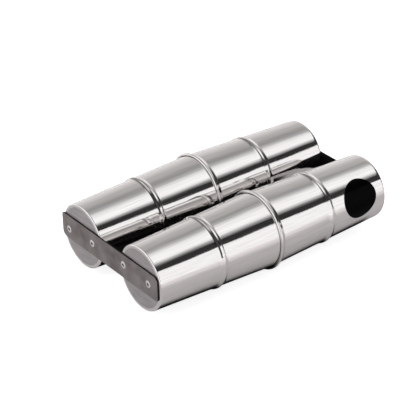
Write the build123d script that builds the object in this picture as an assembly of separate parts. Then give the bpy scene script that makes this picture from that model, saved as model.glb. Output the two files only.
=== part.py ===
from build123d import *
import os
from math import acos, asin, cos, degrees, radians, sin, sqrt

# A double tube shaker. X runs along the tubes, Y across them, and Z is up.
# The origin is on the ground, under the middle. Sizes are in millimetres, angles in degrees.

# The four drawn cups
CUP_LENGTH = 109.0
BASE_DIAMETER = 52.0
CUP_FLARE = 4.0
WALL = 0.8
BASE_CORNER_RADIUS = 1.4

# The bead pressed into the middle of each cup's wall
BEAD_FROM_BASE = 56.6
BEAD_HEIGHT = 1.0
BEAD_CREST_RADIUS = 3.0
BEAD_FOOT_RADIUS = 6.0

# The seam in the middle of a tube: the right cup's mouth flares up and folds over the left cup's mouth,
# which is necked in and plugs into the right cup
SEAM_HEIGHT = 2.1
SEAM_FLARE_ANGLE = 32.0
SEAM_FOOT_RADIUS = 0.8
SEAM_FOLD_INSIDE_RADIUS = 0.4
SEAM_CREST_OFFSET = 0.1
SEAM_LIP_CLEARANCE = 0.45
SPIGOT_LENGTH = 14.0
SPIGOT_CLEARANCE = 0.05
SHOULDER_LENGTH = 1.2
SHOULDER_CLEARANCE = 0.3

# The clear gap between the two tubes, at their seams
TUBE_GAP = 11.7

# The two end straps, cut and fitted by hand: two tight and two eased corners each, how far the ends stay
# inside the tubes' outline, and how far each strap sits off the middle
STRAP_WIDTH = 20.5
STRAP_THICKNESS = 1.0
LEFT_STRAP_END_INSET = 1.75
RIGHT_STRAP_END_INSET = 4.4
TIGHT_CORNER_RADIUS = 2.5
EASED_CORNER_RADIUS = 4.5
LEFT_STRAP_RISE = 1.0
RIGHT_STRAP_RISE = -1.7
LEFT_STRAP_SHIFT = 1.5
RIGHT_STRAP_SHIFT = 0.4

# The blind rivets, drilled by hand: each pair's shift along the strap and each rivet's own rise
RIVET_EDGE_INSET = 10.35
FRONT_PAIR_SHIFT = 4.4
REAR_PAIR_SHIFT = 0.8
RIVET_RISES = (0.0, 1.3, 0.3, -1.6)
RIVET_SHANK_DIAMETER = 3.2
RIVET_HOLE_CLEARANCE = 0.05
RIVET_HEAD_DIAMETER = 5.8
RIVET_HEAD_HEIGHT = 0.6
RIVET_RIM_HEIGHT = 0.2
RIVET_LAND_WIDTH = 0.45
RIVET_BORE_DIAMETER = 2.2
RIVET_TAIL_DIAMETER = 4.3
RIVET_TAIL_LENGTH = 2.8
RIVET_SOCKET_DIAMETER = 2.8
RIVET_SOCKET_DEPTH = 1.6

# The mandrel stub left in each rivet
STUB_CLEARANCE = 0.05
STUB_STEM_LENGTH = 2.0
STUB_DOME_HEIGHT = 0.5

# The blank label on the front tube's right cup
LABEL_DIAMETER = 32.8
LABEL_THICKNESS = 0.15
LABEL_GLUE = 0.02
LABEL_FROM_BASE = 26.1
LABEL_TURN = 18.9

# The loose shot in each tube: a bed along the bottom of the tube, and more on top of it
SHOT_DIAMETER = 4.5
SHOT_GAP = 0.3
BED_ROWS = 6
BED_SHOT_PER_ROW = 13
TOP_ROWS = 3
TOP_SHOT_PER_ROW = 8
TOP_SPREAD = 0.6

# Values that follow from the sizes above
base_radius = BASE_DIAMETER / 2
mouth_radius = base_radius + CUP_FLARE
taper = CUP_FLARE / CUP_LENGTH
wall_slope = Vector(-CUP_LENGTH, CUP_FLARE).normalized()
wall_normal = Vector(CUP_FLARE, CUP_LENGTH).normalized()
radial_wall = WALL / wall_normal.Y
seam_radius = (mouth_radius - taper * SEAM_CREST_OFFSET) + SEAM_HEIGHT
fold_radius = SEAM_FOLD_INSIDE_RADIUS + WALL
neck_x = SEAM_CREST_OFFSET - fold_radius + WALL + SHOULDER_CLEARANCE
axis_height = seam_radius
axis_spacing = 2 * seam_radius + TUBE_GAP
tube_ys = {"front": -axis_spacing / 2, "rear": axis_spacing / 2}


def outside_radius(from_seam):
    """Outside radius of a cup's plain wall, at a distance from the seam towards the base."""
    return mouth_radius - taper * from_seam


def wall_point(from_seam):
    return Vector(from_seam, outside_radius(from_seam))


def hollow_foot(start, along, out, radius, turn):
    """The hollow arc that leaves a wall outwards and turns away from it."""
    centre = start + out * radius
    half, whole = radians(turn / 2), radians(turn)
    middle = centre + along * (radius * sin(half)) - out * (radius * cos(half))
    end = centre + along * (radius * sin(whole)) - out * (radius * cos(whole))
    return ThreePointArc(start, middle, end)


def wall_bead(from_seam):
    """The outside of the bead pressed into a cup's wall, from its base side to its mouth side."""
    both_radii = BEAD_CREST_RADIUS + BEAD_FOOT_RADIUS
    turn = degrees(acos(1 - BEAD_HEIGHT / both_radii))
    half_width = both_radii * sin(radians(turn))
    middle = wall_point(from_seam)
    start = middle - wall_slope * half_width
    end = middle + wall_slope * half_width
    rising = hollow_foot(start, wall_slope, wall_normal, BEAD_FOOT_RADIUS, turn)
    falling = hollow_foot(end, -wall_slope, wall_normal, BEAD_FOOT_RADIUS, turn)
    crest = ThreePointArc(rising @ 1, middle + wall_normal * BEAD_HEIGHT, falling @ 1)
    return [rising, crest, ThreePointArc(falling @ 1, falling @ 0.5, falling @ 0)]


def base_and_wall():
    """The outside of a cup from the middle of its base, round the corner and over the bead."""
    bead = wall_bead(CUP_LENGTH - BEAD_FROM_BASE)
    base = FilletPolyline(
        (CUP_LENGTH, 0), (CUP_LENGTH, base_radius), bead[0] @ 0, radius=BASE_CORNER_RADIUS
    )
    return [*base.edges(), *bead]


def spin_wall(edges):
    """Gives the outside line of a cup its wall, inwards, and spins it round the tube's axis."""
    outside = Wire(edges)
    section = make_face(offset(outside, WALL, side=Side.LEFT, kind=Kind.INTERSECTION).edges())
    return revolve(section, Axis.X)


def folded_cup():
    """The right cup, along +X: its mouth flares up from the wall and folds down over the other cup."""
    edges = base_and_wall()
    angle = radians(SEAM_FLARE_ANGLE)
    both_radii = fold_radius + SEAM_FOOT_RADIUS
    straight = (SEAM_HEIGHT - both_radii * (1 - cos(angle))) / sin(angle)
    below_crest = wall_point(SEAM_CREST_OFFSET)
    crest = below_crest + wall_normal * SEAM_HEIGHT
    foot = below_crest - wall_slope * (both_radii * sin(angle) + straight * cos(angle))
    rising = hollow_foot(foot, wall_slope, wall_normal, SEAM_FOOT_RADIUS, SEAM_FLARE_ANGLE)
    fold_centre = crest - wall_normal * fold_radius
    to_fold_start = wall_normal * cos(angle) - wall_slope * sin(angle)
    fold_start = fold_centre + to_fold_start * fold_radius
    fold_end = fold_centre + wall_slope * fold_radius
    lip = fold_end - wall_normal * (SEAM_HEIGHT - fold_radius - SEAM_LIP_CLEARANCE)
    edges += [
        Line(edges[-1] @ 1, foot),
        rising,
        Line(rising @ 1, fold_start),
        ThreePointArc(fold_start, crest, fold_end),
        Line(fold_end, lip),
    ]
    return spin_wall(edges)


def necked_cup():
    """The left cup, along -X: past the other cup's lip its mouth is necked in to plug into that cup."""
    spigot_xs = (neck_x + SHOULDER_LENGTH, SPIGOT_LENGTH)
    spigot = [Vector(-x, outside_radius(x) - radial_wall - SPIGOT_CLEARANCE) for x in spigot_xs]
    edges = base_and_wall()
    edges += Polyline(edges[-1] @ 1, wall_point(-neck_x), *spigot).edges()
    return Rot(Z=180) * spin_wall(edges)


# Rivet places, one after the other from the front end of a strap to its rear end
rivet_half_pitch = base_radius - RIVET_EDGE_INSET
rivet_ys = [
    tube_ys[tube] + shift + side * rivet_half_pitch
    for tube, shift in (("front", FRONT_PAIR_SHIFT), ("rear", REAR_PAIR_SHIFT))
    for side in (-1, 1)
]
strap_end_insets = {"left": LEFT_STRAP_END_INSET, "right": RIGHT_STRAP_END_INSET}
strap_rises = {"left": LEFT_STRAP_RISE, "right": RIGHT_STRAP_RISE}
strap_shifts = {"left": LEFT_STRAP_SHIFT, "right": RIGHT_STRAP_SHIFT}
outward = {"left": -1, "right": 1}


def rivet_places(end):
    """Where a strap's rivets stand: on its outer face, with local Z pointing out of the strap."""
    face_x = outward[end] * (CUP_LENGTH + STRAP_THICKNESS)
    for y, rise in zip(rivet_ys, RIVET_RISES):
        place = Pos(face_x, y, axis_height + strap_rises[end] + rise)
        yield place * Rot(Y=outward[end] * 90)


grip = STRAP_THICKNESS + WALL
rivet_holes = {
    end: [
        place * Pos(0, 0, -grip / 2) * Cylinder(RIVET_SHANK_DIAMETER / 2 + RIVET_HOLE_CLEARANCE, 2 * grip)
        for place in rivet_places(end)
    ]
    for end in outward
}


def strap(end):
    """A flat strap across both bases. Seen from outside, its eased corners are top right and bottom left."""
    half_length = (axis_spacing + BASE_DIAMETER) / 2 - strap_end_insets[end]
    half_width = STRAP_WIDTH / 2
    corners = [
        (-half_length, -half_width),
        (half_length, -half_width),
        (half_length, half_width),
        (-half_length, half_width),
    ]
    radii = [EASED_CORNER_RADIUS, TIGHT_CORNER_RADIUS, EASED_CORNER_RADIUS, TIGHT_CORNER_RADIUS]
    outline = make_face(FilletPolyline(*corners, radius=radii, close=True).edges())
    middle = (outward[end] * CUP_LENGTH, strap_shifts[end], axis_height + strap_rises[end])
    against_bases = Plane(middle, x_dir=(0, outward[end], 0), z_dir=(outward[end], 0, 0))
    plate = extrude(against_bases * outline, STRAP_THICKNESS)
    return plate - rivet_holes[end]


def rivet():
    """A set blind rivet along Z: Z = 0 is the strap's face, the domed head is above, the tail below."""
    head = RIVET_HEAD_DIAMETER / 2
    shank = RIVET_SHANK_DIAMETER / 2
    bore = RIVET_BORE_DIAMETER / 2
    tail = RIVET_TAIL_DIAMETER / 2
    socket = RIVET_SOCKET_DIAMETER / 2
    tail_end = -grip - RIVET_TAIL_LENGTH
    land = bore + RIVET_LAND_WIDTH
    dome = TangentArc((land, RIVET_HEAD_HEIGHT), (head, RIVET_RIM_HEIGHT), tangent=(1, 0))
    rest = Polyline(
        (head, RIVET_RIM_HEIGHT),
        (head, 0),
        (shank, 0),
        (shank, -grip),
        (tail, -grip),
        (tail, tail_end + RIVET_SOCKET_DEPTH),
        ((tail + socket) / 2, tail_end),
        (socket, tail_end),
        (socket, tail_end + RIVET_SOCKET_DEPTH),
        (bore, tail_end + RIVET_SOCKET_DEPTH),
        (bore, RIVET_HEAD_HEIGHT),
        (land, RIVET_HEAD_HEIGHT),
    )
    return revolve(Plane.XZ * make_face([dome, *rest.edges()]), Axis.Z)


def mandrel_stub():
    """The stub that stays in a rivet: its head seats in the tail's socket, its stem broke off inside."""
    stem = RIVET_BORE_DIAMETER / 2 - STUB_CLEARANCE
    head = RIVET_SOCKET_DIAMETER / 2 - STUB_CLEARANCE
    tail_end = -grip - RIVET_TAIL_LENGTH
    seat = tail_end + RIVET_SOCKET_DEPTH - STUB_CLEARANCE
    dome = ThreePointArc((-head, tail_end), (0, tail_end - STUB_DOME_HEIGHT), (head, tail_end))
    half_dome = dome.trim(0.5, 1)
    side = Polyline(
        (head, tail_end),
        (head, seat),
        (stem, seat),
        (stem, seat + STUB_STEM_LENGTH),
        (0, seat + STUB_STEM_LENGTH),
        (0, tail_end - STUB_DOME_HEIGHT),
    )
    return revolve(Plane.XZ * make_face([half_dome, *side.edges()]), Axis.Z)


def label():
    """A thin round label that follows the cup's wall, as a slice of a cone cut to the label's outline."""
    half = LABEL_DIAMETER / 2
    middle = CUP_LENGTH - LABEL_FROM_BASE
    ends = (wall_point(middle - half), wall_point(middle + half))
    inside = [end + wall_normal * LABEL_GLUE for end in ends]
    outside = [end + wall_normal * (LABEL_GLUE + LABEL_THICKNESS) for end in ends]
    sleeve = revolve(make_face(Polyline(*inside, *reversed(outside), close=True).edges()), Axis.X)
    radius = outside_radius(middle)
    half_chord = radius * sin(half / radius)
    outline = extrude(Plane.XY * Pos(middle, 0) * Ellipse(half, half_chord), 2 * radius)
    return Rot(X=90 - LABEL_TURN) * (sleeve & outline)


# The shot lies on the inside of the wall, or on the spigot where that covers the wall
shot_radius = SHOT_DIAMETER / 2
shot_pitch = SHOT_DIAMETER + SHOT_GAP


def inside_radius(x):
    """Inside radius of a tube at x, from the left cup's neck to the spigot's end or on the plain wall."""
    if neck_x - WALL <= x <= SPIGOT_LENGTH:
        return outside_radius(abs(x)) - 2 * radial_wall - SPIGOT_CLEARANCE
    return outside_radius(abs(x)) - radial_wall


def bed_radius(x):
    """How far from the tube's axis a shot of the bed lies."""
    return min(inside_radius(x + step * shot_radius) for step in (-1, 0, 1)) - shot_radius - SHOT_GAP


bed_xs = [(i - (BED_SHOT_PER_ROW - 1) / 2) * shot_pitch for i in range(BED_SHOT_PER_ROW)]
highest_bed_radius = min(bed_radius(x) for x in bed_xs)
row_angle = 2 * degrees(asin(shot_pitch / 2 / highest_bed_radius))
valley_half_width = highest_bed_radius * sin(radians(row_angle / 2))
valley_depth = sqrt(shot_pitch**2 - valley_half_width**2)
top_radius = highest_bed_radius * cos(radians(row_angle / 2)) - valley_depth
top_pitch = shot_pitch + TOP_SPREAD


def shot(x, angle, radius):
    """One shot, at an angle round the tube's axis from straight down."""
    return Pos(x, radius * sin(radians(angle)), -radius * cos(radians(angle))) * Sphere(shot_radius)


def shot_bed():
    rows = [(i - (BED_ROWS - 1) / 2) * row_angle for i in range(BED_ROWS)]
    return Compound([shot(x, angle, bed_radius(x)) for angle in rows for x in bed_xs])


def shot_top():
    """Rows in the valleys of the bed, each second row moved on by half a pitch."""
    shots = []
    for row in range(TOP_ROWS):
        angle = (row - (TOP_ROWS - 1) / 2) * row_angle
        stagger = top_pitch / 2 * (row % 2) - top_pitch / 4
        for i in range(TOP_SHOT_PER_ROW):
            x = (i - (TOP_SHOT_PER_ROW - 1) / 2) * top_pitch + stagger
            shots.append(shot(x, angle, top_radius))
    return Compound(shots)


# The assembly
pieces = {}
for tube, tube_y in tube_ys.items():
    place = Pos(0, tube_y, axis_height)
    pieces[f"{tube}_left_cup"] = place * necked_cup() - rivet_holes["left"]
    pieces[f"{tube}_right_cup"] = place * folded_cup() - rivet_holes["right"]
    pieces[f"{tube}_shot_bed"] = place * shot_bed()
    pieces[f"{tube}_shot_top"] = place * shot_top()
for end in outward:
    pieces[f"{end}_strap"] = strap(end)
    for number, place in enumerate(rivet_places(end), start=1):
        pieces[f"{end}_rivet_{number}"] = place * rivet()
        pieces[f"{end}_rivet_stub_{number}"] = place * mandrel_stub()
pieces["blank_label"] = Pos(0, tube_ys["front"], axis_height) * label()

os.makedirs("parts", exist_ok=True)
for name, piece in pieces.items():
    export_step(piece, f"parts/{name}.step")
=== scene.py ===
"""The looks of a double tube shaker: polished aluminium cups, dark straps, rivets and a blank label.

X runs along the tubes, Y across them and Z up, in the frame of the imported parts. Sizes are written in
millimetres, and turned to metres where something is made or placed.
"""
import math
from collections import namedtuple

import bmesh
import bpy
from mathutils import Matrix, Vector


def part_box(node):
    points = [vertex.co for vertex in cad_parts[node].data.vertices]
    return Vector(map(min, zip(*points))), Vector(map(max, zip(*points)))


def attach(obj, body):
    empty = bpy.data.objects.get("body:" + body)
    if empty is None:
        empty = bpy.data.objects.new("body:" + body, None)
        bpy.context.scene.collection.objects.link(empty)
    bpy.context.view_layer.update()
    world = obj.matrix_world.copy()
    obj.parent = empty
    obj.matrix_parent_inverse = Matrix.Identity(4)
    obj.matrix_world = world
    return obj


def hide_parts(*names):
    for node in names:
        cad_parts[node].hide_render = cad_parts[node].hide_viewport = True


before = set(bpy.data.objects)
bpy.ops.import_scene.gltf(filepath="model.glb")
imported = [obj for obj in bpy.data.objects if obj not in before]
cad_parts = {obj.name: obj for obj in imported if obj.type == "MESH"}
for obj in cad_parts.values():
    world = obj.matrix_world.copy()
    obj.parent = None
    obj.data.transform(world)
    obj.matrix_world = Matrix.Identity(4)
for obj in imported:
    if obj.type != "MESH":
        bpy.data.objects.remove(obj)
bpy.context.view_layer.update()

MM = 0.001

# The drawn cups
WALL = 0.8
BASE_RADIUS = 26.0
MOUTH_RADIUS = 30.0
DRAW_IN_LENGTH = 4.0
BEAD_FROM_BASE = 56.6
BEAD_HEIGHT = 1.0
BEAD_CREST_RADIUS = 3.0
BEAD_FOOT_RADIUS = 6.0
SEAM_HEIGHT = 2.1
SEAM_FLARE_ANGLE = 32.0
SEAM_FOLD_RADIUS = 1.2
SEAM_FOOT_RADIUS = 0.8
SEAM_CREST_OFFSET = 0.1
SEAM_LIP_CLEARANCE = 0.45
SHOULDER_LENGTH = 1.2
SPIGOT_LENGTH = 14.0
SPIGOT_CLEARANCE = 0.05

# A cup's corner: its reach over the base and along the wall, and how far the wall draws in there
Corner = namedtuple("Corner", "on_base on_wall draw_in")
LEFT_CORNER = Corner(on_base=1.9, on_wall=0.9, draw_in=0.0)
RIGHT_CORNER = Corner(on_base=1.1, on_wall=2.4, draw_in=0.2)

# The hand-polished wall is never quite round: waves with lobes round the tube, a length along it and a
# phase in radians. They fade out towards the seam and the base.
Wave = namedtuple("Wave", "lobes length phase")
WAVES = (Wave(3, 90.0, 0.4), Wave(5, -64.0, 2.1), Wave(8, 47.0, 4.0))
WAVE_DEPTH = 0.05
WAVE_FADE = 10.0

# How finely the cups are cut up. The rings on a base are shares of the base's flat radius.
CUP_SEGMENTS = 256
WALL_STEP = 2.0
DRAW_IN_STEP = 0.5
BEAD_STEP = 0.15
CORNER_STEPS = 14
SLOPE_STEP = 0.01
FOLD_STEPS = 16
BASE_RINGS = (0.97, 0.75, 0.5, 0.25, 0.0)

# The straps: their edges are broken by a small radius, and two of their corners are eased
STRAP_EDGE_RADIUS = 0.25
STRAP_EDGE_STEPS = 4
STRAP_CORNER_STEPS = 10
TIGHT_CORNER_RADIUS = 2.5
EASED_CORNER_RADIUS = 4.5
RIVETS_IN_STRAP = 4
RIVET_HOLE_RADIUS = 1.65
RIVET_HOLE_STEPS = 32

# The blind rivets, measured from the strap's outer face
RIVET_HEAD_RADIUS = 2.9
RIVET_HEAD_HEIGHT = 0.6
RIVET_RIM_RADIUS = 0.15
RIVET_LIP_RADIUS = 0.25
RIVET_BORE_RADIUS = 1.1
RIVET_SHANK_RADIUS = 1.6
RIVET_TAIL_RADIUS = 2.15
RIVET_TAIL_LENGTH = 2.8
RIVET_SOCKET_RADIUS = 1.4
RIVET_SOCKET_DEPTH = 1.6
RIVET_SEGMENTS = 64
RIVET_ARC_STEPS = 10

# A noise texture mostly stays between these two levels
NOISE_LOW = 0.3
NOISE_HIGH = 0.7

# The sockets of a Mix node that mixes two colours
MIX_SHARE = 0
MIX_FIRST = 6
MIX_SECOND = 7
MIX_RESULT = 2

# The studio's sheets. Light levels are 1 for white.
FLOOR_SIZE = 20000.0
FLOOR_GLOW = 0.78
GREY_CARD_ENDS = (-450.0, 2000.0)
GREY_CARD_SIDES = (-2000.0, 2000.0)
GREY_CARD_HEIGHT = 0.05
SOFT_BOX_HEIGHT = 596.0
SOFT_BOX_ENDS = (-30.0, 780.0)
SOFT_BOX_END_FADE = 90.0
FRONT_CARD_Y = -632.0
FRONT_CARD_HEIGHT = 440.0
FRONT_CARD_ENDS = (-165.0, 1350.0)

# How bright the soft box is, from its back edge to its front edge along Y
SOFT_BOX_LEVELS = (
    (191, 0.33), (94, 0.46), (19, 0.77), (-56, 0.97), (-231, 1.05),
    (-300, 0.93), (-356, 0.52), (-455, 0.13), (-516, 0.0),
)

# Painted shade on the grey card, by the distance outside an oblong in the shade under the shaker: black
# under the tubes, lighter further out
SHADE_HALF_LENGTH = 111.0
SHADE_HALF_WIDTH = 64.0
PAINTED_SHADE_LEVELS = (
    (-12, 0.02), (-8, 0.1), (-4, 0.55), (1, 0.8), (20, 0.73),
    (60, 0.68), (80, 0.72), (133, 0.97), (370, 1.15),
)

# The grey card is a little warm, and it falls into the dark past the right end, by X less the size of Y
GREY_CARD_TINT = "#F8F5F5"
# The dark past the right end is a painted dark reflection: only the metal sees it, and the paper there stays
# white
GREY_CARD_DARK_FROM = 140.0
GREY_CARD_DARK_AT = 330.0
GREY_CARD_DARK_LEVEL = 0.05

# How bright the room's warm walls are, in degrees from the back, over the top, to the front
ROOM_TINT = "#FFFCFB"
ROOM_LEVELS = (
    (0, 0.75), (16, 0.71), (38, 0.5), (54, 0.44), (66, 0.33), (85, 0.33), (100, 0.03), (180, 0.03),
)

# How much of that is left from side to side, and what the room's ends add, by the X part of a direction
ROOM_SIDES = (
    (-0.7, 0.0), (-0.5, 0.3), (-0.38, 1.8), (-0.15, 1.8), (0.0, 0.4), (0.2, 0.4),
    (0.34, 1.0), (0.62, 1.0), (0.75, 1.4), (0.85, 1.4), (0.97, 0.0),
)
ROOM_ENDS = ((-0.7, 1.0), (-0.5, 0.0), (0.85, 0.0), (0.97, 0.04))

# The fill lamp. Angles are in degrees.
FILL_LEVEL = 0.35
FILL_ANGLE = 80.0
FILL_TILT = -12.0

# The camera, at the photograph's viewing angle
VIEW_AZIMUTH = -36.616
VIEW_ELEVATION = 30.073
VIEW_ROLL = -1.252
VIEW_DISTANCE = 1346.5
VIEW_AIM = (-13.55, 15.39, 39.47)
LENS_LENGTH = 155.59
SENSOR_WIDTH = 36.0

# A ridge on a wall: its height, the radii of its crest and its foot, and the turn by which its flank rises.
# A bead has no straight flank: its crest meets its foot.
Ridge = namedtuple("Ridge", "height crest foot turn")
bead_turn = math.acos(1 - BEAD_HEIGHT / (BEAD_CREST_RADIUS + BEAD_FOOT_RADIUS))
bead = Ridge(BEAD_HEIGHT, BEAD_CREST_RADIUS, BEAD_FOOT_RADIUS, bead_turn)
seam = Ridge(SEAM_HEIGHT, SEAM_FOLD_RADIUS, SEAM_FOOT_RADIUS, math.radians(SEAM_FLARE_ANGLE))

# A cup is measured from the seam, where x is 0, towards its base
cup_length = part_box("front_right_cup")[1].x / MM
bead_x = cup_length - BEAD_FROM_BASE
draw_in_x = cup_length - DRAW_IN_LENGTH
taper = (MOUTH_RADIUS - BASE_RADIUS) / cup_length


def linear(hex_colour):
    """An sRGB hex colour as the linear colour that a shader takes."""
    channels = [int(hex_colour[i:i + 2], 16) / 255 for i in (1, 3, 5)]
    return [c / 12.92 if c <= 0.04045 else ((c + 0.055) / 1.055) ** 2.4 for c in channels] + [1.0]


def add_node(tree, kind, inputs=None, stops=None, **settings):
    """Adds a node with its settings. Each input is a plain value, or another node's socket to link.

    A colour ramp also gets its grey stops, as pairs of a place from 0 to 1 and a level."""
    made = tree.nodes.new(kind)
    for number, (place, level) in enumerate(stops or []):
        elements = made.color_ramp.elements
        stop = elements[number] if number < 2 else elements.new(place)
        stop.position = place
        stop.color = (level, level, level, 1.0)
    for name, value in settings.items():
        setattr(made, name, value)
    for name, value in (inputs or {}).items():
        if isinstance(value, bpy.types.NodeSocket):
            tree.links.new(value, made.inputs[name])
        else:
            made.inputs[name].default_value = value
    return made


def new_material(name):
    """An empty material and its node tree."""
    material = bpy.data.materials.new(name)
    material.use_nodes = True
    material.node_tree.nodes.clear()
    return material, material.node_tree


def add_object(name, data):
    """Puts a mesh, a lamp or a camera in the scene."""
    made = bpy.data.objects.new(name, data)
    bpy.context.scene.collection.objects.link(made)
    return made


# The shaker's materials


def polished_aluminium():
    """Drawn aluminium, buffed along the tube: a soft mirror with fine lengthwise buffing streaks.

    Real buffing lines are far finer than a pixel, so they are drawn coarser here."""
    streak_width = 1.0 * MM
    streak_length = 70.0 * MM
    streak_depth = 0.02 * MM
    smoothest = 0.05
    roughest = 0.12
    material, tree = new_material("polished_aluminium")
    place = add_node(tree, "ShaderNodeTexCoord")
    stretched = add_node(tree, "ShaderNodeMapping", {
        "Vector": place.outputs["Object"],
        "Scale": (streak_width / streak_length, 1, 1),
    })
    streaks = add_node(tree, "ShaderNodeTexNoise", {
        "Vector": stretched.outputs["Vector"],
        "Scale": 1 / streak_width,
        "Detail": 3.0,
    })
    gloss = add_node(tree, "ShaderNodeMapRange", {
        "Value": streaks.outputs["Fac"],
        "From Min": NOISE_LOW,
        "From Max": NOISE_HIGH,
        "To Min": smoothest,
        "To Max": roughest,
    })
    relief = add_node(tree, "ShaderNodeBump", {
        "Height": streaks.outputs["Fac"],
        "Distance": streak_depth,
    })
    spread = add_node(tree, "ShaderNodeMapRange", {
        "Value": streaks.outputs["Fac"],
        "From Min": NOISE_LOW,
        "From Max": NOISE_HIGH,
    })
    tone = add_node(tree, "ShaderNodeMix", {
        MIX_SHARE: spread.outputs["Result"],
        MIX_FIRST: linear("#ECE9E8"),
        MIX_SECOND: linear("#F8F6F5"),
    }, data_type="RGBA")
    shader = add_node(tree, "ShaderNodeBsdfPrincipled", {
        "Base Color": tone.outputs[MIX_RESULT],
        "Metallic": 1.0,
        "Roughness": gloss.outputs["Result"],
        "Normal": relief.outputs["Normal"],
    })
    add_node(tree, "ShaderNodeOutputMaterial", {"Surface": shader.outputs["BSDF"]})
    return material


def satin_aluminium_and_shade():
    """The cups' bases as they came off the press: dull rolled aluminium with a faint mottle and grain, its
    colour darkened as painted shade.
    """
    grain_width = 1.2 * MM
    grain_length = 14.0 * MM
    grain_depth = 0.006 * MM
    mottle_size = 9.0 * MM
    smoothest = 0.3
    roughest = 0.42
    material, tree = new_material("satin_aluminium_and_shade")
    place = add_node(tree, "ShaderNodeTexCoord")
    stretched = add_node(tree, "ShaderNodeMapping", {
        "Vector": place.outputs["Object"],
        "Scale": (1, grain_width / grain_length, 1),
    })
    grain = add_node(tree, "ShaderNodeTexNoise", {
        "Vector": stretched.outputs["Vector"],
        "Scale": 1 / grain_width,
        "Detail": 3.0,
    })
    mottle = add_node(tree, "ShaderNodeTexNoise", {
        "Vector": place.outputs["Object"],
        "Scale": 1 / mottle_size,
        "Detail": 2.0,
    })
    gloss = add_node(tree, "ShaderNodeMapRange", {
        "Value": mottle.outputs["Fac"],
        "From Min": NOISE_LOW,
        "From Max": NOISE_HIGH,
        "To Min": smoothest,
        "To Max": roughest,
    })
    relief = add_node(tree, "ShaderNodeBump", {
        "Height": grain.outputs["Fac"],
        "Distance": grain_depth,
    })
    spread = add_node(tree, "ShaderNodeMapRange", {
        "Value": grain.outputs["Fac"],
        "From Min": NOISE_LOW,
        "From Max": NOISE_HIGH,
    })
    # Both tones are darker than aluminium's own: painted shade for the dim light on the tubes' ends
    tone = add_node(tree, "ShaderNodeMix", {
        MIX_SHARE: spread.outputs["Result"],
        MIX_FIRST: linear("#B6B2B3"),
        MIX_SECOND: linear("#D0CCCD"),
    }, data_type="RGBA")
    shader = add_node(tree, "ShaderNodeBsdfPrincipled", {
        "Base Color": tone.outputs[MIX_RESULT],
        "Metallic": 1.0,
        "Roughness": gloss.outputs["Result"],
        "Normal": relief.outputs["Normal"],
    })
    add_node(tree, "ShaderNodeOutputMaterial", {"Surface": shader.outputs["BSDF"]})
    return material


def strap_face_steel():
    """The outer face of a strap: dull grey cold rolled steel, with worn patches and fine pitting."""
    patch_size = 14.0 * MM
    pit_size = 0.9 * MM
    pit_depth = 0.008 * MM
    smoothest = 0.36
    roughest = 0.46
    material, tree = new_material("strap_face_steel")
    place = add_node(tree, "ShaderNodeTexCoord")
    pits = add_node(tree, "ShaderNodeTexNoise", {
        "Vector": place.outputs["Object"],
        "Scale": 1 / pit_size,
        "Detail": 2.0,
    })
    gloss = add_node(tree, "ShaderNodeMapRange", {
        "Value": pits.outputs["Fac"],
        "From Min": NOISE_LOW,
        "From Max": NOISE_HIGH,
        "To Min": smoothest,
        "To Max": roughest,
    })
    relief = add_node(tree, "ShaderNodeBump", {
        "Height": pits.outputs["Fac"],
        "Distance": pit_depth,
    })
    patches = add_node(tree, "ShaderNodeTexNoise", {
        "Vector": place.outputs["Object"],
        "Scale": 1 / patch_size,
        "Detail": 3.0,
    })
    spread = add_node(tree, "ShaderNodeMapRange", {
        "Value": patches.outputs["Fac"],
        "From Min": NOISE_LOW,
        "From Max": NOISE_HIGH,
    })
    tone = add_node(tree, "ShaderNodeMix", {
        MIX_SHARE: spread.outputs["Result"],
        MIX_FIRST: linear("#857D7D"),
        MIX_SECOND: linear("#ABA4A4"),
    }, data_type="RGBA")
    shader = add_node(tree, "ShaderNodeBsdfPrincipled", {
        "Base Color": tone.outputs[MIX_RESULT],
        "Metallic": 1.0,
        "Roughness": gloss.outputs["Result"],
        "Normal": relief.outputs["Normal"],
    })
    add_node(tree, "ShaderNodeOutputMaterial", {"Surface": shader.outputs["BSDF"]})
    return material


def painted_shade_black_steel():
    """Painted shade on a strap's edges and back and in a rivet's bore: nearly black, with a soft waxy gloss.
    """
    bloom_size = 2.0 * MM
    smoothest = 0.4
    roughest = 0.55
    material, tree = new_material("painted_shade_black_steel")
    place = add_node(tree, "ShaderNodeTexCoord")
    bloom = add_node(tree, "ShaderNodeTexNoise", {
        "Vector": place.outputs["Object"],
        "Scale": 1 / bloom_size,
        "Detail": 3.0,
    })
    gloss = add_node(tree, "ShaderNodeMapRange", {
        "Value": bloom.outputs["Fac"],
        "From Min": NOISE_LOW,
        "From Max": NOISE_HIGH,
        "To Min": smoothest,
        "To Max": roughest,
    })
    shader = add_node(tree, "ShaderNodeBsdfPrincipled", {
        "Base Color": linear("#0C0B0B"),
        "Roughness": gloss.outputs["Result"],
        "Specular IOR Level": 0.25,
    })
    add_node(tree, "ShaderNodeOutputMaterial", {"Surface": shader.outputs["BSDF"]})
    return material


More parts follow.
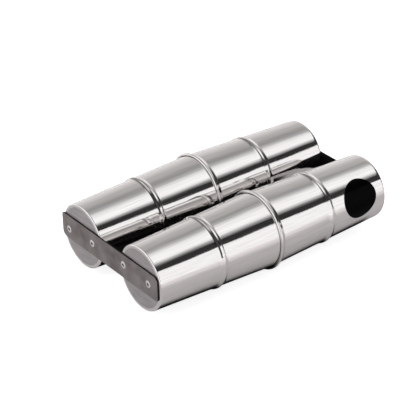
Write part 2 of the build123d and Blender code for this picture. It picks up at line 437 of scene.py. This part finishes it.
def rivet_aluminium():
    """Headed aluminium wire: bright and a little soft, with faint marks from the setting tool."""
    mark_size = 0.8 * MM
    mark_depth = 0.01 * MM
    smoothest = 0.18
    roughest = 0.3
    material, tree = new_material("rivet_aluminium")
    place = add_node(tree, "ShaderNodeTexCoord")
    marks = add_node(tree, "ShaderNodeTexNoise", {
        "Vector": place.outputs["Object"],
        "Scale": 1 / mark_size,
        "Detail": 2.0,
    })
    gloss = add_node(tree, "ShaderNodeMapRange", {
        "Value": marks.outputs["Fac"],
        "From Min": NOISE_LOW,
        "From Max": NOISE_HIGH,
        "To Min": smoothest,
        "To Max": roughest,
    })
    relief = add_node(tree, "ShaderNodeBump", {
        "Height": marks.outputs["Fac"],
        "Distance": mark_depth,
    })
    shader = add_node(tree, "ShaderNodeBsdfPrincipled", {
        "Base Color": linear("#F0EEEC"),
        "Metallic": 1.0,
        "Roughness": gloss.outputs["Result"],
        "Normal": relief.outputs["Normal"],
    })
    add_node(tree, "ShaderNodeOutputMaterial", {"Surface": shader.outputs["BSDF"]})
    return material


def plain_steel(name, colour, smoothest, roughest, grit):
    """Bare steel that is seen little or not at all: its gloss varies at the size of its grit."""
    material, tree = new_material(name)
    place = add_node(tree, "ShaderNodeTexCoord")
    specks = add_node(tree, "ShaderNodeTexNoise", {
        "Vector": place.outputs["Object"],
        "Scale": 1 / grit,
        "Detail": 2.0,
    })
    gloss = add_node(tree, "ShaderNodeMapRange", {
        "Value": specks.outputs["Fac"],
        "From Min": NOISE_LOW,
        "From Max": NOISE_HIGH,
        "To Min": smoothest,
        "To Max": roughest,
    })
    shader = add_node(tree, "ShaderNodeBsdfPrincipled", {
        "Base Color": linear(colour),
        "Metallic": 1.0,
        "Roughness": gloss.outputs["Result"],
    })
    add_node(tree, "ShaderNodeOutputMaterial", {"Surface": shader.outputs["BSDF"]})
    return material


def black_vinyl():
    """Glossy black vinyl film with a clear top coat: it mirrors the studio faintly, with a slight ripple."""
    ripple_size = 5.0 * MM
    ripple_depth = 0.006 * MM
    smoothest = 0.05
    roughest = 0.1
    material, tree = new_material("black_vinyl")
    place = add_node(tree, "ShaderNodeTexCoord")
    ripple = add_node(tree, "ShaderNodeTexNoise", {
        "Vector": place.outputs["Object"],
        "Scale": 1 / ripple_size,
        "Detail": 1.0,
    })
    gloss = add_node(tree, "ShaderNodeMapRange", {
        "Value": ripple.outputs["Fac"],
        "From Min": NOISE_LOW,
        "From Max": NOISE_HIGH,
        "To Min": smoothest,
        "To Max": roughest,
    })
    relief = add_node(tree, "ShaderNodeBump", {
        "Height": ripple.outputs["Fac"],
        "Distance": ripple_depth,
    })
    shader = add_node(tree, "ShaderNodeBsdfPrincipled", {
        "Base Color": linear("#050505"),
        "Roughness": gloss.outputs["Result"],
        "Specular IOR Level": 0.02,
        "Normal": relief.outputs["Normal"],
    })
    add_node(tree, "ShaderNodeOutputMaterial", {"Surface": shader.outputs["BSDF"]})
    return material


# The outline of a cup, as points in millimetres: x from the seam towards the base, and the radius there


def plain_radius(x):
    """The outside radius of the tapered wall, without its bead."""
    return MOUTH_RADIUS - taper * x


def wall_radius(x, corner):
    """The outside radius of the wall, which can draw in a little on its last stretch before the base."""
    into = max(0.0, x - draw_in_x) / DRAW_IN_LENGTH
    return plain_radius(x) - corner.draw_in * into**2


def ridge_half_width(ridge):
    """Half the width of a ridge: a round crest, a straight flank and a hollow foot."""
    rounds = ridge.crest + ridge.foot
    straight = (ridge.height - rounds * (1 - math.cos(ridge.turn))) / math.sin(ridge.turn)
    return rounds * math.sin(ridge.turn) + straight * math.cos(ridge.turn)


def ridge_lift(ridge, offset):
    """How far a ridge stands off the wall, at an offset from its middle."""
    from_foot = ridge_half_width(ridge) - offset
    if from_foot <= 0:
        return 0.0
    if from_foot <= ridge.foot * math.sin(ridge.turn):
        return ridge.foot - math.sqrt(ridge.foot**2 - from_foot**2)
    past_crest = offset - ridge.crest * math.sin(ridge.turn)
    if past_crest <= 0:
        return ridge.height - ridge.crest + math.sqrt(ridge.crest**2 - offset**2)
    return ridge.height - ridge.crest * (1 - math.cos(ridge.turn)) - past_crest * math.tan(ridge.turn)


def bead_radius(x, corner):
    """The outside radius of the wall with its pressed bead."""
    return wall_radius(x, corner) + ridge_lift(bead, abs(x - bead_x))


def steps(start, end, step):
    """Even steps from start up to end, without the end itself."""
    count = max(1, round(abs(end - start) / step))
    return [start + (end - start) * i / count for i in range(count)]


def wall_xs(start, fine_until, corner):
    """Places along the wall, from the mouth to the corner: close together over the seam and the bead."""
    reach = ridge_half_width(bead) + BEAD_STEP
    return [
        *steps(start, fine_until, BEAD_STEP),
        *steps(fine_until, bead_x - reach, WALL_STEP),
        *steps(bead_x - reach, bead_x + reach, BEAD_STEP),
        *steps(bead_x + reach, draw_in_x, WALL_STEP),
        *steps(draw_in_x, cup_length - corner.on_wall, DRAW_IN_STEP),
    ]


def inside_wall(xs, radii, corner):
    """The inside of a wall, up to its corner."""
    return [(x, r - WALL) for x, r in zip(xs, radii) if x < cup_length - corner.on_wall - WALL]


def corner_and_base(corner, inset):
    """From the wall round the soft corner to the middle of the base, moved into the metal by an inset."""
    base_x = cup_length - inset
    before = cup_length - corner.on_wall
    slope = (wall_radius(before, corner) - wall_radius(before - SLOPE_STEP, corner)) / SLOPE_STEP
    wall_end = Vector((before - inset, wall_radius(before, corner) - inset))
    tip = Vector((base_x, wall_end.y + slope * corner.on_wall))
    base_end = Vector((base_x, tip.y - corner.on_base))
    points = []
    for i in range(CORNER_STEPS + 1):
        t = i / CORNER_STEPS
        points.append((1 - t) ** 2 * wall_end + 2 * t * (1 - t) * tip + t**2 * base_end)
    return [tuple(point) for point in points] + [(base_x, base_end.y * share) for share in BASE_RINGS]


def folded_outline():
    """The right cup, outside and inside: its mouth flares up from the wall and folds over the left cup."""
    corner = RIGHT_CORNER
    foot = SEAM_CREST_OFFSET + ridge_half_width(seam) + BEAD_STEP
    xs = wall_xs(SEAM_CREST_OFFSET, foot, corner)
    radii = [bead_radius(x, corner) + ridge_lift(seam, x - SEAM_CREST_OFFSET) for x in xs]
    lip_end = plain_radius(SEAM_CREST_OFFSET) + SEAM_LIP_CLEARANCE
    fold_middle = plain_radius(SEAM_CREST_OFFSET) + SEAM_HEIGHT - SEAM_FOLD_RADIUS
    turns = [math.pi / 2 * i / FOLD_STEPS for i in range(FOLD_STEPS, 0, -1)]

    def lip(radius):
        """The folded lip, from its end up to the seam's crest."""
        fold = [
            (SEAM_CREST_OFFSET - radius * math.sin(turn), fold_middle + radius * math.cos(turn))
            for turn in turns
        ]
        return [(SEAM_CREST_OFFSET - radius, lip_end), *fold]

    outside = lip(SEAM_FOLD_RADIUS) + list(zip(xs, radii)) + corner_and_base(corner, 0)
    inside = lip(SEAM_FOLD_RADIUS - WALL) + inside_wall(xs, radii, corner) + corner_and_base(corner, WALL)
    return outside, inside


def necked_outline():
    """The left cup, outside and inside: its mouth is necked in, and plugs into the right cup."""
    corner = LEFT_CORNER
    xs = wall_xs(0.0, SEAM_FOLD_RADIUS, corner)
    radii = [bead_radius(x, corner) for x in xs]
    spigot = [(-x, plain_radius(x) - WALL - SPIGOT_CLEARANCE) for x in (SPIGOT_LENGTH, SHOULDER_LENGTH)]
    outside = spigot + list(zip(xs, radii)) + corner_and_base(corner, 0)
    spigot_inside = [(x, r - WALL) for x, r in spigot]
    inside = spigot_inside + inside_wall(xs, radii, corner) + corner_and_base(corner, WALL)
    return outside, inside


def wall_wave(x, turn, start):
    """The hand-made unevenness of a wall, in millimetres, always into the metal."""
    into = max(0.0, min(x - SPIGOT_LENGTH, cup_length - WALL - x))
    fade = min(1.0, into / WAVE_FADE)
    waves = [
        math.sin(wave.lobes * turn + math.tau * x / wave.length + wave.phase + start)
        for wave in WAVES
    ]
    return -WAVE_DEPTH * fade * (1 + sum(waves) / len(WAVES)) / 2


# The meshes


def lathed_mesh(name, loop, finishes, centre, facing, segments, uneven=None):
    """A closed mesh: a loop of points, as an x and a radius in millimetres, spun round a line along X.

    Facing is 1 where the loop's x runs towards +X, or -1. The faces from one point to the next take the
    material with the number that finishes gives. Uneven is what a radius gains, by x and turn."""
    vertices = []
    rings = []
    for x, radius in loop:
        ring = []
        for i in range(segments if radius > 0 else 1):
            turn = math.tau * i / segments
            r = (radius + uneven(x, turn) if uneven else radius) * MM
            ring.append(len(vertices))
            vertices.append((
                centre.x + facing * x * MM,
                centre.y + r * math.cos(turn),
                centre.z + r * math.sin(turn),
            ))
        rings.append(ring)
    faces = []
    face_finishes = []
    for ring, following, finish in zip(rings, rings[1:] + rings[:1], finishes):
        if len(ring) == len(following) == 1:
            continue
        for i in range(segments):
            k = (i + 1) % segments
            if len(ring) == 1:
                face = (ring[0], following[k], following[i])
            elif len(following) == 1:
                face = (ring[i], ring[k], following[0])
            else:
                face = (ring[i], ring[k], following[k], following[i])
            faces.append(face if facing > 0 else face[::-1])
            face_finishes.append(finish)
    mesh = bpy.data.meshes.new(name)
    mesh.from_pydata(vertices, [], faces)
    mesh.polygons.foreach_set("use_smooth", [True] * len(faces))
    mesh.polygons.foreach_set("material_index", face_finishes)
    mesh.update()
    return mesh


def cup_mesh(name, node, outline, side, start):
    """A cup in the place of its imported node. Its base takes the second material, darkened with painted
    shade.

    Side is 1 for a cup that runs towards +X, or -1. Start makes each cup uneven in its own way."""
    outside, inside = outline
    loop = outside + inside[::-1]
    on_base = [int(x == next_x == cup_length) for (x, _), (next_x, _) in zip(loop, loop[1:] + loop[:1])]
    low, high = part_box(node)
    centre = Vector((0, (low.y + high.y) / 2, (low.z + high.z) / 2))

    def uneven(x, turn):
        return wall_wave(x, turn, start)

    return lathed_mesh(name, loop, on_base, centre, side, CUP_SEGMENTS, uneven)


def rounded_plate(half_length, half_width, inset, facing):
    """The outline of a strap, moved in all round: seen from outside, its eased corners are top right and
    bottom left. Facing is 1 for a strap that faces +X, or -1."""
    points = []
    for along, up, first_turn in ((1, 1, 0), (-1, 1, 90), (-1, -1, 180), (1, -1, 270)):
        radius = EASED_CORNER_RADIUS if along * up == facing else TIGHT_CORNER_RADIUS
        middle = Vector((along * (half_length - radius), up * (half_width - radius)))
        for i in range(STRAP_CORNER_STEPS + 1):
            turn = math.radians(first_turn + 90 * i / STRAP_CORNER_STEPS)
            points.append(middle + (radius - inset) * Vector((math.cos(turn), math.sin(turn))))
    return points


def strap_mesh(name, node, rivets, facing):
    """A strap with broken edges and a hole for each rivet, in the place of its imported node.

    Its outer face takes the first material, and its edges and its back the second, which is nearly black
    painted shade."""
    low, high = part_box(node)
    middle = (low + high) / 2
    half_length = (high.y - low.y) / 2 / MM
    half_width = (high.z - low.z) / 2 / MM
    thickness = (high.x - low.x) / MM
    work = bmesh.new()

    def ring(points, height):
        """A ring of vertices, at a height over the strap's -X face."""
        x = low.x + height * MM
        return [work.verts.new((x, middle.y + y * MM, middle.z + z * MM)) for y, z in points]

    def wall(first, second):
        """A wall of faces from one ring to another."""
        for i in range(len(first)):
            k = (i + 1) % len(first)
            face = work.faces.new((first[i], first[k], second[k], second[i]))
            face.smooth = True
            face.material_index = 1

    turns = [math.pi / 2 * i / STRAP_EDGE_STEPS for i in range(STRAP_EDGE_STEPS + 1)]
    levels = [(STRAP_EDGE_RADIUS * (1 - math.sin(t)), STRAP_EDGE_RADIUS * (1 - math.cos(t))) for t in turns]
    levels += [(inset, thickness - height) for inset, height in reversed(levels)]
    edge = [ring(rounded_plate(half_length, half_width, inset, facing), height) for inset, height in levels]
    for first, second in zip(edge, edge[1:]):
        wall(first, second)

    # The loops that bound the faces towards -X and +X
    caps = {-1: [edge[0]], 1: [edge[-1]]}
    for rivet in rivets:
        rivet_low, rivet_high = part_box(rivet)
        centre = (rivet_low + rivet_high) / 2 - middle
        circle = []
        for i in range(RIVET_HOLE_STEPS):
            turn = math.tau * i / RIVET_HOLE_STEPS
            y = centre.y / MM + RIVET_HOLE_RADIUS * math.cos(turn)
            z = centre.z / MM + RIVET_HOLE_RADIUS * math.sin(turn)
            circle.append((y, z))
        hole = [ring(circle, 0), ring(circle, thickness)]
        wall(hole[1], hole[0])
        caps[-1].append(hole[0])
        caps[1].append(hole[1])
    for side, loops in caps.items():
        rims = [work.edges.get((loop[i], loop[i - 1])) for loop in loops for i in range(len(loop))]
        filled = bmesh.ops.triangle_fill(work, edges=rims, use_beauty=True, use_dissolve=False)["geom"]
        for face in filled:
            if isinstance(face, bmesh.types.BMFace):
                face.material_index = 0 if side == facing else 1
    bmesh.ops.recalc_face_normals(work, faces=work.faces)
    mesh = bpy.data.meshes.new(name)
    work.to_mesh(mesh)
    work.free()
    return mesh


def arc(middle, radius, first_turn, last_turn):
    """Points on an arc, as radius and height. Turns are in degrees, from straight out towards up."""
    points = []
    for i in range(RIVET_ARC_STEPS + 1):
        turn = math.radians(first_turn + (last_turn - first_turn) * i / RIVET_ARC_STEPS)
        points.append((middle[0] + radius * math.cos(turn), middle[1] + radius * math.sin(turn)))
    return points


def rivet_outline(grip):
    """A set blind rivet, from its tail over the head to its bore, as radius and height over the strap."""
    tail_end = -grip - RIVET_TAIL_LENGTH
    socket_end = tail_end + RIVET_SOCKET_DEPTH
    outside = [
        (RIVET_BORE_RADIUS, socket_end),
        (RIVET_SOCKET_RADIUS, socket_end),
        (RIVET_SOCKET_RADIUS, tail_end),
        ((RIVET_TAIL_RADIUS + RIVET_SOCKET_RADIUS) / 2, tail_end),
        (RIVET_TAIL_RADIUS, socket_end),
        (RIVET_TAIL_RADIUS, -grip),
        (RIVET_SHANK_RADIUS, -grip),
        (RIVET_SHANK_RADIUS, 0.0),
    ]
    rim_middle = (RIVET_HEAD_RADIUS - RIVET_RIM_RADIUS, RIVET_RIM_RADIUS)
    crown_radius = RIVET_BORE_RADIUS + RIVET_LIP_RADIUS
    run = RIVET_HEAD_RADIUS - RIVET_RIM_RADIUS - crown_radius
    fall = RIVET_HEAD_HEIGHT - RIVET_RIM_RADIUS
    dome_radius = (run**2 + fall**2 - RIVET_RIM_RADIUS**2) / (2 * (fall - RIVET_RIM_RADIUS))
    dome_middle = (crown_radius, RIVET_HEAD_HEIGHT - dome_radius)
    lean = math.degrees(math.atan2(rim_middle[1] - dome_middle[1], rim_middle[0] - dome_middle[0]))
    head = arc(rim_middle, RIVET_RIM_RADIUS, -90, lean) + arc(dome_middle, dome_radius, lean, 90)
    lip = arc((crown_radius, RIVET_HEAD_HEIGHT - RIVET_LIP_RADIUS), RIVET_LIP_RADIUS, 90, 180)
    return outside + head + lip[1:]


def rivet_mesh(name, node, grip, facing):
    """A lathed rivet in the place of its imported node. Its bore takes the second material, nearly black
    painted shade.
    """
    low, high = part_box(node)
    centre = (low + high) / 2
    centre.x = high.x - RIVET_HEAD_HEIGHT * MM if facing > 0 else low.x + RIVET_HEAD_HEIGHT * MM
    loop = [(height, radius) for radius, height in rivet_outline(grip)]
    in_bore = [0] * (len(loop) - 1) + [1]
    return lathed_mesh(name, loop, in_bore, centre, facing, RIVET_SEGMENTS)


def add_piece(name, mesh, materials, node):
    """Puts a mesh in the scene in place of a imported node, on the shaker's shell."""
    piece = add_object(name, mesh)
    for material in materials:
        mesh.materials.append(material)
    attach(piece, "shell")
    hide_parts(node)


# The studio


def white_paper():
    """Matt white paper under the object. It glows to the eye and in the metal, and keeps a faint shadow."""
    material, tree = new_material("white_paper")
    path = add_node(tree, "ShaderNodeLightPath")
    seen = add_node(tree, "ShaderNodeMath", {
        0: path.outputs["Is Camera Ray"],
        1: path.outputs["Is Glossy Ray"],
    }, operation="ADD")
    seen_or_through = add_node(tree, "ShaderNodeMath", {
        0: seen.outputs[0],
        1: path.outputs["Is Transmission Ray"],
    }, operation="ADD", use_clamp=True)
    strength = add_node(tree, "ShaderNodeMath", {
        0: seen_or_through.outputs[0],
        1: FLOOR_GLOW,
    }, operation="MULTIPLY")
    shader = add_node(tree, "ShaderNodeBsdfPrincipled", {
        "Base Color": linear("#F2F2F2"),
        "Roughness": 1.0,
        "Specular IOR Level": 0.0,
        "Emission Color": linear("#FFFFFF"),
        "Emission Strength": strength.outputs[0],
    })
    add_node(tree, "ShaderNodeOutputMaterial", {"Surface": shader.outputs["BSDF"]})
    return material


def grey_card():
    """A matt card under the shaker that only the metal sees, with painted shade: black under the tubes, grey
    round them.
    """
    inner = PAINTED_SHADE_LEVELS[0][0]
    outer = PAINTED_SHADE_LEVELS[-1][0]
    material, tree = new_material("grey_card")
    place = add_node(tree, "ShaderNodeNewGeometry")
    size = add_node(tree, "ShaderNodeVectorMath", {0: place.outputs["Position"]}, operation="ABSOLUTE")
    past = add_node(tree, "ShaderNodeVectorMath", {
        0: size.outputs[0],
        1: (SHADE_HALF_LENGTH * MM, SHADE_HALF_WIDTH * MM, 0.0),
    }, operation="SUBTRACT")
    parts = add_node(tree, "ShaderNodeSeparateXYZ", {"Vector": past.outputs[0]})
    outside = add_node(tree, "ShaderNodeMath", {
        0: parts.outputs["X"],
        1: parts.outputs["Y"],
    }, operation="MAXIMUM")
    share = add_node(tree, "ShaderNodeMapRange", {
        "Value": outside.outputs[0],
        "From Min": inner * MM,
        "From Max": outer * MM,
    })
    stops = [((distance - inner) / (outer - inner), level) for distance, level in PAINTED_SHADE_LEVELS]
    level = add_node(tree, "ShaderNodeValToRGB", {"Fac": share.outputs["Result"]}, stops)
    along = add_node(tree, "ShaderNodeSeparateXYZ", {"Vector": place.outputs["Position"]})
    across = add_node(tree, "ShaderNodeSeparateXYZ", {"Vector": size.outputs[0]})
    to_dark = add_node(tree, "ShaderNodeMath", {
        0: along.outputs["X"],
        1: across.outputs["Y"],
    }, operation="SUBTRACT")
    # Painted dark reflection past the right end
    left_over = add_node(tree, "ShaderNodeMapRange", {
        "Value": to_dark.outputs[0],
        "From Min": GREY_CARD_DARK_FROM * MM,
        "From Max": GREY_CARD_DARK_AT * MM,
        "To Min": 1.0,
        "To Max": GREY_CARD_DARK_LEVEL,
    }, interpolation_type="SMOOTHSTEP")
    tinted = add_node(tree, "ShaderNodeVectorMath", {
        0: level.outputs["Color"],
        1: linear(GREY_CARD_TINT)[:3],
    }, operation="MULTIPLY")
    shaded = add_node(tree, "ShaderNodeVectorMath", {
        0: tinted.outputs[0],
        "Scale": left_over.outputs["Result"],
    }, operation="SCALE")
    shader = add_node(tree, "ShaderNodeBsdfDiffuse", {"Color": shaded.outputs[0]})
    add_node(tree, "ShaderNodeOutputMaterial", {"Surface": shader.outputs["BSDF"]})
    return material


def soft_box_cloth():
    """White cloth over lamps: bright in the middle, and fading towards all its edges."""
    back = SOFT_BOX_LEVELS[0][0]
    front = SOFT_BOX_LEVELS[-1][0]
    middle = sum(SOFT_BOX_ENDS) / 2 * MM
    reach = (SOFT_BOX_ENDS[1] - SOFT_BOX_ENDS[0]) / 2 * MM
    material, tree = new_material("soft_box_cloth")
    place = add_node(tree, "ShaderNodeNewGeometry")
    parts = add_node(tree, "ShaderNodeSeparateXYZ", {"Vector": place.outputs["Position"]})
    share = add_node(tree, "ShaderNodeMapRange", {
        "Value": parts.outputs["Y"],
        "From Min": back * MM,
        "From Max": front * MM,
    })
    stops = [((y - back) / (front - back), level) for y, level in SOFT_BOX_LEVELS]
    level = add_node(tree, "ShaderNodeValToRGB", {"Fac": share.outputs["Result"]}, stops)
    off_middle = add_node(tree, "ShaderNodeMath", {0: parts.outputs["X"], 1: middle}, operation="SUBTRACT")
    distance = add_node(tree, "ShaderNodeMath", {0: off_middle.outputs[0]}, operation="ABSOLUTE")
    fade = add_node(tree, "ShaderNodeMapRange", {
        "Value": distance.outputs[0],
        "From Min": reach,
        "From Max": reach - SOFT_BOX_END_FADE * MM,
    }, interpolation_type="SMOOTHSTEP")
    shader = add_node(tree, "ShaderNodeEmission", {
        "Color": level.outputs["Color"],
        "Strength": fade.outputs["Result"],
    })
    add_node(tree, "ShaderNodeOutputMaterial", {"Surface": shader.outputs["Emission"]})
    return material


def white_card():
    """A lit white card: one even level."""
    material, tree = new_material("white_card")
    shader = add_node(tree, "ShaderNodeEmission", {"Color": linear("#FFFFFF")})
    add_node(tree, "ShaderNodeOutputMaterial", {"Surface": shader.outputs["Emission"]})
    return material


def level_sheet(x0, x1, y0, y1, z):
    """The corners of a sheet that lies level."""
    return [(x0, y0, z), (x1, y0, z), (x1, y1, z), (x0, y1, z)]


def upright_sheet(x0, x1, y, height):
    """The corners of a sheet that stands on the floor and faces along Y."""
    return [(x0, y, 0), (x1, y, 0), (x1, y, height), (x0, y, height)]


def add_stage(name, corners, material, unseen_by=()):
    """A flat sheet of the studio, which isn't part of the shaker, and the kinds of ray that pass it by."""
    mesh = bpy.data.meshes.new(name)
    mesh.from_pydata([Vector(corner) * MM for corner in corners], [], [(0, 1, 2, 3)])
    mesh.materials.append(material)
    sheet = add_object(name, mesh)
    for ray in unseen_by:
        setattr(sheet, f"visible_{ray}", False)


def studio_room():
    """The room: a grey wall behind, dark in front, a white wall past the left end and a dark one past the
    right."""
    world = bpy.data.worlds.new("studio")
    world.use_nodes = True
    tree = world.node_tree
    tree.nodes.clear()
    direction = add_node(tree, "ShaderNodeTexCoord")
    parts = add_node(tree, "ShaderNodeSeparateXYZ", {"Vector": direction.outputs["Generated"]})
    angle = add_node(tree, "ShaderNodeMath", {
        0: parts.outputs["Z"],
        1: parts.outputs["Y"],
    }, operation="ARCTAN2")
    band_share = add_node(tree, "ShaderNodeMath", {
        0: angle.outputs[0],
        1: 1 / math.pi,
    }, operation="MULTIPLY")
    band_stops = [(degrees / 180, level) for degrees, level in ROOM_LEVELS]
    bands = add_node(tree, "ShaderNodeValToRGB", {"Fac": band_share.outputs[0]}, band_stops)
    side_share = add_node(tree, "ShaderNodeMapRange", {"Value": parts.outputs["X"], "From Min": -1.0})
    side_stops = [((x + 1) / 2, level) for x, level in ROOM_SIDES]
    sides = add_node(tree, "ShaderNodeValToRGB", {"Fac": side_share.outputs["Result"]}, side_stops)
    end_stops = [((x + 1) / 2, level) for x, level in ROOM_ENDS]
    ends = add_node(tree, "ShaderNodeValToRGB", {"Fac": side_share.outputs["Result"]}, end_stops)
    walls = add_node(tree, "ShaderNodeVectorMath", {
        0: bands.outputs["Color"],
        1: linear(ROOM_TINT)[:3],
    }, operation="MULTIPLY")
    room = add_node(tree, "ShaderNodeVectorMath", {
        0: walls.outputs[0],
        1: sides.outputs["Color"],
        2: ends.outputs["Color"],
    }, operation="MULTIPLY_ADD")
    light = add_node(tree, "ShaderNodeBackground", {"Color": room.outputs[0]})
    add_node(tree, "ShaderNodeOutputWorld", {"Surface": light.outputs["Background"]})
    return world


def add_fill():
    """A wide soft lamp that brings the paper up to white, and that the metal doesn't show."""
    lamp = bpy.data.lights.new("soft_fill", "SUN")
    lamp.energy = FILL_LEVEL * math.pi
    lamp.angle = math.radians(FILL_ANGLE)
    fill = add_object("soft_fill", lamp)
    fill.rotation_euler = (math.radians(FILL_TILT), math.radians(FILL_TILT), 0)
    fill.visible_glossy = False


def add_camera():
    """The camera looks at its aim from a distance, with a little roll, as in the photograph."""
    data = bpy.data.cameras.new("camera")
    data.lens = LENS_LENGTH
    data.sensor_width = SENSOR_WIDTH
    turned = (
        Matrix.Rotation(math.radians(VIEW_AZIMUTH), 4, "Z")
        @ Matrix.Rotation(math.radians(90 - VIEW_ELEVATION), 4, "X")
        @ Matrix.Rotation(math.radians(VIEW_ROLL), 4, "Z")
    )
    aim = Matrix.Translation(Vector(VIEW_AIM) * MM)
    camera = add_object("camera", data)
    camera.matrix_world = aim @ turned @ Matrix.Translation((0, 0, VIEW_DISTANCE * MM))
    return camera


# The pieces of the shaker

polished = polished_aluminium()
satin_and_shade = satin_aluminium_and_shade()
strap_face = strap_face_steel()
painted_shade_black = painted_shade_black_steel()
rivet_metal = rivet_aluminium()
stub_metal = plain_steel("broken_steel_stub", "#8C8986", smoothest=0.4, roughest=0.6, grit=0.4 * MM)
shot_metal = plain_steel("tumbled_steel_shot", "#C4C2C0", smoothest=0.15, roughest=0.3, grit=1.0 * MM)
vinyl = black_vinyl()

cups = ((-1, "left", necked_outline()), (1, "right", folded_outline()))
for number, tube in enumerate(("front", "rear")):
    for side, end, outline in cups:
        node = f"{tube}_{end}_cup"
        mesh = cup_mesh(f"{node}_wall", node, outline, side, number + side)
        add_piece(f"{node}_wall", mesh, (polished, satin_and_shade), node)

for end, facing in (("left", -1), ("right", 1)):
    node = f"{end}_strap"
    rivets = [f"{end}_rivet_{number}" for number in range(1, RIVETS_IN_STRAP + 1)]
    mesh = strap_mesh(f"{node}_plate", node, rivets, facing)
    # The second material, on a strap's edges and back, is painted shade
    add_piece(f"{node}_plate", mesh, (strap_face, painted_shade_black), node)
    low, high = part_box(node)
    grip = (high.x - low.x) / MM + WALL
    for rivet in rivets:
        mesh = rivet_mesh(f"{rivet}_lathed", rivet, grip, facing)
        # The rivet's bore takes the painted shade
        add_piece(f"{rivet}_lathed", mesh, (rivet_metal, painted_shade_black), rivet)

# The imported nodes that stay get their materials
finishes = {"rivet_stub": stub_metal, "shot": shot_metal, "blank_label": vinyl}
for name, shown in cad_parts.items():
    for words, material in finishes.items():
        if words in name:
            shown.data.materials.clear()
            shown.data.materials.append(material)
            break

# The stage, the light and the camera

half_floor = FLOOR_SIZE / 2
floor_sheet = level_sheet(-half_floor, half_floor, -half_floor, half_floor, 0)
card_sheet = level_sheet(*GREY_CARD_ENDS, *GREY_CARD_SIDES, GREY_CARD_HEIGHT)
box_sheet = level_sheet(*SOFT_BOX_ENDS, SOFT_BOX_LEVELS[-1][0], SOFT_BOX_LEVELS[0][0], SOFT_BOX_HEIGHT)
front_sheet = upright_sheet(*FRONT_CARD_ENDS, FRONT_CARD_Y, FRONT_CARD_HEIGHT)
add_stage("paper_floor", floor_sheet, white_paper())
# The grey card carries painted shade that only the metal sees
add_stage("grey_card", card_sheet, grey_card(),
          unseen_by=("camera", "diffuse", "transmission", "volume_scatter", "shadow"))
add_stage("soft_box", box_sheet, soft_box_cloth(), unseen_by=("camera", "shadow"))
add_stage("front_card", front_sheet, white_card(), unseen_by=("camera", "shadow"))
add_fill()

scene = bpy.context.scene
scene.world = studio_room()
scene.camera = add_camera()
scene.view_settings.view_transform = "Standard"
